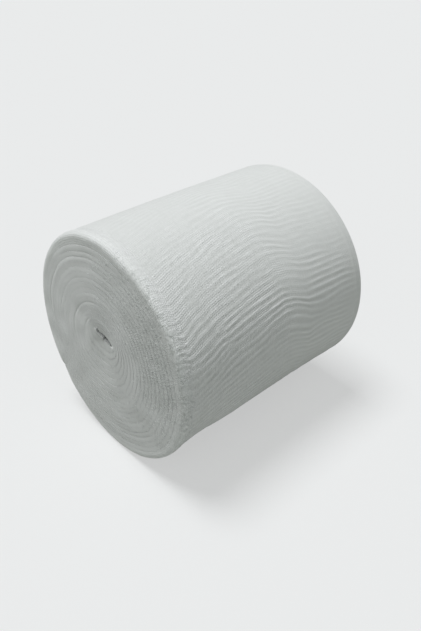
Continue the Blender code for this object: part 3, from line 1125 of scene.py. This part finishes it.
def thread_lines(tree, place):
    """1 on the middle of each thread and 0 between threads, for a place counted in threads."""
    wave = figure(tree, "COSINE", figure(tree, "MULTIPLY", place, 2 * math.pi))
    raised = figure(tree, "MULTIPLY_ADD", wave, 0.5, 0.5)
    return figure(tree, "POWER", raised, THREAD_SHARPNESS)


def height_group(name, input_kinds):
    """A new node group with its inputs and one output, the height."""
    tree = bpy.data.node_groups.new(name, "ShaderNodeTree")
    for socket, kind in input_kinds.items():
        tree.interface.new_socket(socket, in_out="INPUT", socket_type="NodeSocket" + kind)
    tree.interface.new_socket("Height", in_out="OUTPUT", socket_type="NodeSocketFloat")
    return tree, new_node(tree, "NodeGroupInput").outputs, new_node(tree, "NodeGroupOutput")


def noise(tree, place, scale, detail, **more):
    values = {"Vector": place, "Scale": scale, "Detail": detail, **more}
    return fed_node(tree, "ShaderNodeTexNoise", values).outputs


def weave_group():
    kinds = {"Cloth": "Vector", "Threads per metre": "Float", "Stray": "Float"}
    tree, given, result = height_group("gauze_weave", kinds)
    bend = noise(tree, given["Cloth"], 260.0, 2.0)
    bends = fed_node(tree, "ShaderNodeSeparateColor", {"Color": bend["Color"]}).outputs
    parts = fed_node(tree, "ShaderNodeSeparateXYZ", {"Vector": given["Cloth"]}).outputs
    threads = []
    for part, strayed in ((parts["X"], bends["Red"]), (parts["Y"], bends["Green"])):
        counted = figure(tree, "MULTIPLY", part, given["Threads per metre"])
        place = figure(tree, "MULTIPLY_ADD", strayed, given["Stray"], counted)
        threads.append(thread_lines(tree, place))
    warp, weft = threads
    either = figure(tree, "MULTIPLY", figure(tree, "ADD", warp, weft), THREAD_SHARE)
    crossing = figure(tree, "MULTIPLY", warp, weft)
    height = figure(tree, "MULTIPLY_ADD", crossing, 1 - 2 * THREAD_SHARE, either)
    tree.links.new(height, result.inputs["Height"])
    return tree


gauze_weave = weave_group()
print("weave group with", len(gauze_weave.nodes), "nodes")

# %% Fuzz
def fuzz_group():
    """Short matted fibres that lie mostly along the strip, and a finer grain between them."""
    tree, given, result = height_group("cotton_fuzz", {"Cloth": "Vector", "Body": "Vector"})
    stretch = {0: given["Cloth"], 1: (420.0, 1500.0, 1.0)}
    stretched = fed_node(tree, "ShaderNodeVectorMath", stretch, operation="MULTIPLY")
    fibres = noise(tree, stretched.outputs["Vector"], 1.0, 3.0, Distortion=1.2)
    grain = noise(tree, given["Body"], 1500.0, 4.0, Roughness=0.7)
    height = figure(tree, "ADD", figure(tree, "MULTIPLY", fibres["Fac"], 0.5),
                    figure(tree, "MULTIPLY", grain["Fac"], 0.5))
    tree.links.new(height, result.inputs["Height"])
    return tree


cotton_fuzz = fuzz_group()
print("fuzz group with", len(cotton_fuzz.nodes), "nodes")

# %% The cotton materials
# The lightest and darkest cotton colours; the lightness between them holds the threads, random tone,
# painted shade and painted light.
COTTON_LIGHT = (0.941, 0.950, 0.938, 1.0)
COTTON_SHADE = (0.541, 0.550, 0.530, 1.0)
EVEN_LIGHTNESS = 0.60
THREADS_PER_METRE = 1050.0
STRAY = 0.9  # of the room between two threads, for the way they bend
BLOOM = 0.25
SOAK = 0.7
# how far the painted shade darkens the cotton's colour
SHADE_DEPTH = 0.50
# painted shade: the dark colour deep in the slot, where the painted shade is past INSIDE_FROM
SLOT_PAINTED_SHADE = (0.27, 0.275, 0.27, 1.0)
INSIDE_FROM = 1.1  # of the shade, past anything that lies on the end's face
INSIDE_OVER = 0.6
# painted light on loose threads, which are lit through
OPEN_LIGHTER = 0.20  # loose threads are lit through, which makes up for the shade between them


def cotton(name, weave_share, crinkle_share, fuzz_share, weave_depth, fuzz_depth, soak_size):
    material = bpy.data.materials.new(name)
    material.use_nodes = True
    tree = material.node_tree
    shader = tree.nodes["Principled BSDF"]
    cloth = new_node(tree, "ShaderNodeUVMap", uv_map="cloth")
    body = new_node(tree, "ShaderNodeTexCoord")
    loose, crinkle, painted_shade = [
        new_node(tree, "ShaderNodeAttribute", attribute_name=value_name).outputs["Fac"]
        for value_name in ("loose", "crinkle", "painted_shade")
    ]
    given = {"Cloth": cloth.outputs["UV"], "Threads per metre": THREADS_PER_METRE, "Stray": STRAY}
    weave = fed_node(tree, "ShaderNodeGroup", given, node_tree=gauze_weave)
    given = {"Cloth": cloth.outputs["UV"], "Body": body.outputs["Object"]}
    fuzz = fed_node(tree, "ShaderNodeGroup", given, node_tree=cotton_fuzz)
    patches = noise(tree, body.outputs["Object"], 120.0, 3.0)["Fac"]
    patch_range = {"Value": patches, "From Min": 0.38, "From Max": 0.62, "To Min": 0.15, "To Max": 1.0}
    patch = fed_node(tree, "ShaderNodeMapRange", patch_range)
    openness = figure(tree, "MULTIPLY", loose, patch.outputs["Result"])
    thread = figure(tree, "MULTIPLY", figure(tree, "SUBTRACT", weave.outputs["Height"], 0.3),
                    openness)
    uneven = figure(tree, "MULTIPLY", figure(tree, "SUBTRACT", fuzz.outputs["Height"], 0.5),
                    figure(tree, "MULTIPLY_ADD", loose, 0.85, 0.15))
    # painted shade, uneven in patches
    shaded = figure(tree, "MULTIPLY", painted_shade, figure(tree, "MULTIPLY_ADD", patches, 1.0, 0.5))
    # The crinkle's ridges are lighter and its valleys darker: partly denser threads on the ridges,
    # partly painted shade in the valleys. Openness adds painted light.
    lightness = EVEN_LIGHTNESS
    for part, share in ((thread, weave_share), (openness, OPEN_LIGHTER), (crinkle, crinkle_share),
                        (uneven, fuzz_share), (shaded, -SHADE_DEPTH)):
        lightness = figure(tree, "MULTIPLY_ADD", part, share, lightness)
    mixed = {0: lightness, 6: COTTON_SHADE, 7: COTTON_LIGHT}
    colour = fed_node(tree, "ShaderNodeMix", mixed, data_type="RGBA")
    # painted shade in the slot: past INSIDE_FROM the colour goes over to the slot's dark colour
    inside = figure(tree, "MULTIPLY_ADD", painted_shade, 1 / INSIDE_OVER, -INSIDE_FROM / INSIDE_OVER)
    mixed = {0: inside, 6: colour.outputs[2], 7: SLOT_PAINTED_SHADE}
    in_slot = fed_node(tree, "ShaderNodeMix", mixed, data_type="RGBA")
    bump = {"Height": thread, "Strength": 1.0, "Distance": weave_depth}
    weave_bump = fed_node(tree, "ShaderNodeBump", bump)
    bump = {"Height": uneven, "Strength": 1.0, "Distance": fuzz_depth,
            "Normal": weave_bump.outputs["Normal"]}
    fuzz_bump = fed_node(tree, "ShaderNodeBump", bump)
    feed(tree, shader, {"Base Color": in_slot.outputs[2], "Roughness": 0.95,
                        "Sheen Weight": BLOOM, "Sheen Roughness": 0.6,
                        "Specular IOR Level": 0.2, "Subsurface Weight": SOAK,
                        "Subsurface Radius": (1.0, 1.0, 1.0), "Subsurface Scale": soak_size,
                        "Normal": fuzz_bump.outputs["Normal"]})
    print(name, "made")
    return material


gauze_edges = cotton("gauze_edges", 0.40, 0.0, 0.5, 0.16 * MM, 0.18 * MM, 1.6 * MM)
gauze_face = cotton("gauze_face", 0.50, 0.18, 0.9, 0.20 * MM, 0.35 * MM, 0.8 * MM)
wound_strip.data.materials.append(gauze_edges)
outer_turn.data.materials.append(gauze_face)

# %% [markdown]
# ## Loose cotton
#
# Fluffy gauze sheds. Short fibres lie over the rim and bridge the creases of the end, most of
# all on the thready right side. Particle hair would do it too, but it can't be kept as a mesh so
# simply. Here each fibre walks over the surface in a few steps, turning a little at each, and
# becomes one spline of a curve with a bevel. A fibre is so thin that light passes through it,
# or it would look dark against the white cloth.

# %% Surfaces that the fibres walk on
FIBRE_POINTS = 5
RIM_ROW_COUNT = len(NEAR_RIM_ROWS)


def last_turn_surface(column, row):
    """Places, outward directions and sizes of a step, at fractional columns and rows."""
    column = np.clip(column, 0, OUTER_COLUMNS - 2)
    row = np.clip(row, 0, RIM_ROW_COUNT + BARREL_ROWS - 2)
    column_below, row_below = column.astype(int), row.astype(int)
    corner = outer_points[column_below, row_below]
    along = outer_points[column_below + 1, row_below] - corner
    across = outer_points[column_below, row_below + 1] - corner
    place = corner + along * (column - column_below)[:, None]
    place = place + across * (row - row_below)[:, None]
    outward = np.cross(along, across)
    outward /= np.linalg.norm(outward, axis=1, keepdims=True)
    return place, outward, np.linalg.norm(along, axis=1), np.linalg.norm(across, axis=1)


def end_surface(across, up):
    """The same on the near end, where the two places are metres from the axis."""
    flat = np.stack([across, up], axis=-1)
    slip = end_slip(np.arctan2(across, up), flat)
    depth = face_depth(flat, NEAR_DENTS, NEAR_FACE_SEED)
    place = in_frame(across, depth - STRIP_WIDTH / 2 + slip, up)
    return place, np.array([[0.0, -1.0, 0.0]]), 1.0, 1.0


def walk(surface, first, second, heading, length, bend, lift):
    """Paths of fibres, an array (fibres, points, 3); each rises by its lift to its middle."""
    places = []
    for number in range(FIBRE_POINTS):
        place, outward, first_size, second_size = surface(first, second)
        arch = math.sin(math.pi * (number + 0.5) / FIBRE_POINTS)
        places.append(place + outward * (lift * arch)[:, None])
        step = length / (FIBRE_POINTS - 1)
        first = first + step * np.cos(heading) / first_size
        second = second + step * np.sin(heading) / second_size
        heading = heading + bend
    return np.stack(places, axis=1)


print("fibres of", FIBRE_POINTS, "points each")

# %% Where fibres lie
def columns_at(degrees):
    """Columns of the last turn at angles round the roll."""
    turns = ((np.radians(degrees) - LOOSE_END_ANGLE) / (2 * math.pi)) % 1.0
    return np.interp(turns, outer_turns, np.arange(OUTER_COLUMNS))


LAST_TURN_FIBRES = (
    # count, angles, places, headings, lengths in mm, bend and lifts in mm; places are rows of the
    # last turn: the rim's border with the end, the rim, the cloth behind it
    (650, (8, 74, 128), (1.5, 5, 9), (20, 160), (0.7, 2.2), 0.60, (0.02, 0.15)),
    (320, (30, 88, 130), (5, 9, 13), (0, 180), (0.6, 1.6), 0.60, (0.01, 0.08)),
    (450, (30, 74, 108), (12, 20, 46), (-35, 35), (0.6, 1.8), 0.30, (0.00, 0.06)),
)
END_FIBRES = (
    # the same, but places are distances from the axis in millimetres
    (1250, (-6, 68, 138), (20, 46, 51), (0, 180), (0.8, 3.2), 0.45, (0.02, 0.16)),
)
FIBRE_SEED = 301
random_fibres = np.random.default_rng(FIBRE_SEED)


def spread(count, limits):
    return random_fibres.uniform(*limits, count)


def random_walks(row, on_end):
    """Fibres that are thickest at the middle one of three angles and places."""
    count, three_angles, three_places, headings, lengths_mm, bend_spread, lifts_mm = row
    angles = random_fibres.triangular(*three_angles, count)
    places = random_fibres.triangular(*three_places, count)
    heading = np.radians(spread(count, headings))
    length = spread(count, lengths_mm) * MM
    bend = random_fibres.normal(0, bend_spread, count)
    lift = spread(count, lifts_mm) * MM
    if not on_end:
        return walk(last_turn_surface, columns_at(angles), places, heading, length, bend, lift)
    turned = np.radians(angles)
    across, up = on_circle(turned, places * MM).T
    return walk(end_surface, across, up, heading - turned, length, bend, lift)


rim_walks = [random_walks(row, on_end=False) for row in LAST_TURN_FIBRES]
end_walks = [random_walks(row, on_end=True) for row in END_FIBRES]
print("fibres on the last turn", sum(map(len, rim_walks)), "and on the end", sum(map(len, end_walks)))

# %% Fibres as two meshes
FIBRE_RADIUS = 0.036 * MM
LINT_COLOUR = (0.955, 0.965, 0.955, 1.0)
LINT_LETS_THROUGH = 0.6


def loose_cotton(name, walks):
    bpy.ops.object.select_all(action="DESELECT")
    bpy.ops.curve.primitive_bezier_curve_add(location=(0, 0, 0))
    piece = bpy.context.object
    piece.name = name
    curve = piece.data
    curve.splines.clear()
    curve.bevel_depth = FIBRE_RADIUS
    curve.bevel_resolution = 0
    curve.use_fill_caps = True
    for path in np.concatenate(walks):
        spline = curve.splines.new("POLY")
        spline.points.add(len(path) - 1)
        spline.points.foreach_set("co", np.insert(path, 3, 1.0, axis=1).ravel())
    bpy.ops.object.convert(target="MESH")
    print(name, "has", sum(len(face.vertices) - 2 for face in piece.data.polygons), "triangles")
    return piece


lint_material = bpy.data.materials.new("loose_cotton")
lint_material.use_nodes = True
tree = lint_material.node_tree
lint_look = {"Base Color": LINT_COLOUR, "Roughness": 0.9, "Specular IOR Level": 0.2,
             "Sheen Weight": BLOOM}
lint_shader = feed(tree, tree.nodes["Principled BSDF"], lint_look)
let_through = fed_node(tree, "ShaderNodeBsdfTranslucent", {"Color": LINT_COLOUR})
lint_parts = {"Fac": LINT_LETS_THROUGH, 1: lint_shader.outputs["BSDF"],
              2: let_through.outputs["BSDF"]}
lint_mix = fed_node(tree, "ShaderNodeMixShader", lint_parts)
feed(tree, tree.nodes["Material Output"], {"Surface": lint_mix.outputs["Shader"]})

rim_lint = loose_cotton("rim_lint", rim_walks)
end_lint = loose_cotton("end_lint", end_walks)
for piece in (rim_lint, end_lint):
    piece.data.materials.append(lint_material)
    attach(piece, "root")
    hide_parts("gauze_roll")

# %% [markdown]
# ## Handing the pieces to the frame
#
# Both sheets ride on the roll's one body and stand for its solid, which is hidden. Each was cut
# to the strip's width, and its length along the winding is printed.

# %% Pieces and sheets
for piece, length in ((wound_strip, inner_arc[-1]), (outer_turn, outer_arc[-1] - outer_arc[0])):
    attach(piece, "root")
    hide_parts("gauze_roll")
    print(piece.name, "is cut from", round(float(length), 3), "m of strip")
